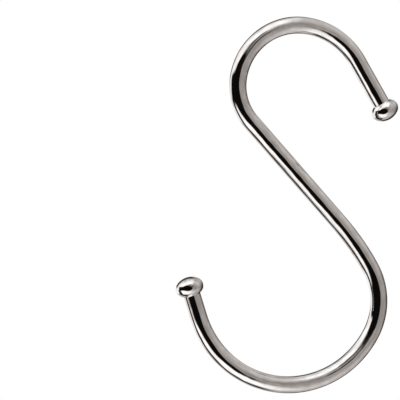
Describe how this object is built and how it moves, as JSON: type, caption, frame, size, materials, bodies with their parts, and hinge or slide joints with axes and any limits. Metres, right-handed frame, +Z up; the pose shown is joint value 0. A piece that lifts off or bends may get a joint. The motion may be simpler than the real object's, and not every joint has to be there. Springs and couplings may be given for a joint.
{
  "type": "s hook",
  "caption": "S hook bent from one round polished steel wire, with a ball headed on each end; the small bend hangs on a rail and the large one carries the load.",
  "frame": {"origin": "the rail seat: the highest point of the inside of the upper bend, where the hook hangs", "axes": "+Z up as the hook hangs; the S lies in the XZ plane, with +X towards the open side of the upper bend; +Y across the wire"},
  "size_m": [0.0536, 0.0064, 0.0877],
  "materials": {
    "polished_steel": "polished stainless steel wire"
  },
  "bodies": {
    "root": {"hook": "polished_steel"}
  },
  "joints": []
}
